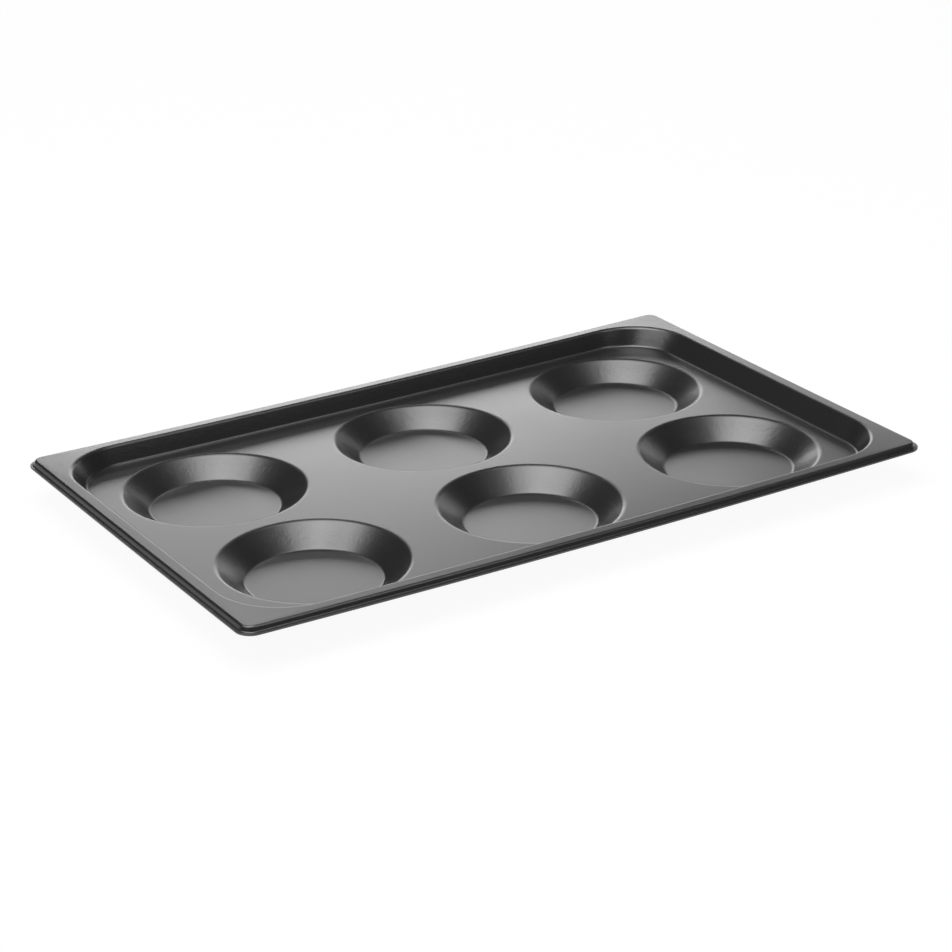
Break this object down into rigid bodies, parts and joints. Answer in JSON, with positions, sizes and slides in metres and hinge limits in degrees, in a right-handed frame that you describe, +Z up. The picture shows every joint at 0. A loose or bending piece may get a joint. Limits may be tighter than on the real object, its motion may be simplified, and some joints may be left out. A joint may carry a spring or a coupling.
{
  "type": "pancake baking tray",
  "caption": "Shallow rectangular baking tray with a stepped rim and round flat-bottomed moulds pressed into its floor, for pancakes, fried eggs or small flatbreads.",
  "frame": {"origin": "middle of the plan, on the plane that the undersides of the moulds stand on", "axes": "+X along the long side, +Y along the short side, +Z up out of the moulds"},
  "size_m": [0.53, 0.325, 0.029],
  "materials": {
    "non_stick_coating": "dark grey satin non-stick coating, finely grained, over aluminium sheet"
  },
  "bodies": {
    "root": {"pressed_tray": "non_stick_coating"}
  },
  "joints": []
}
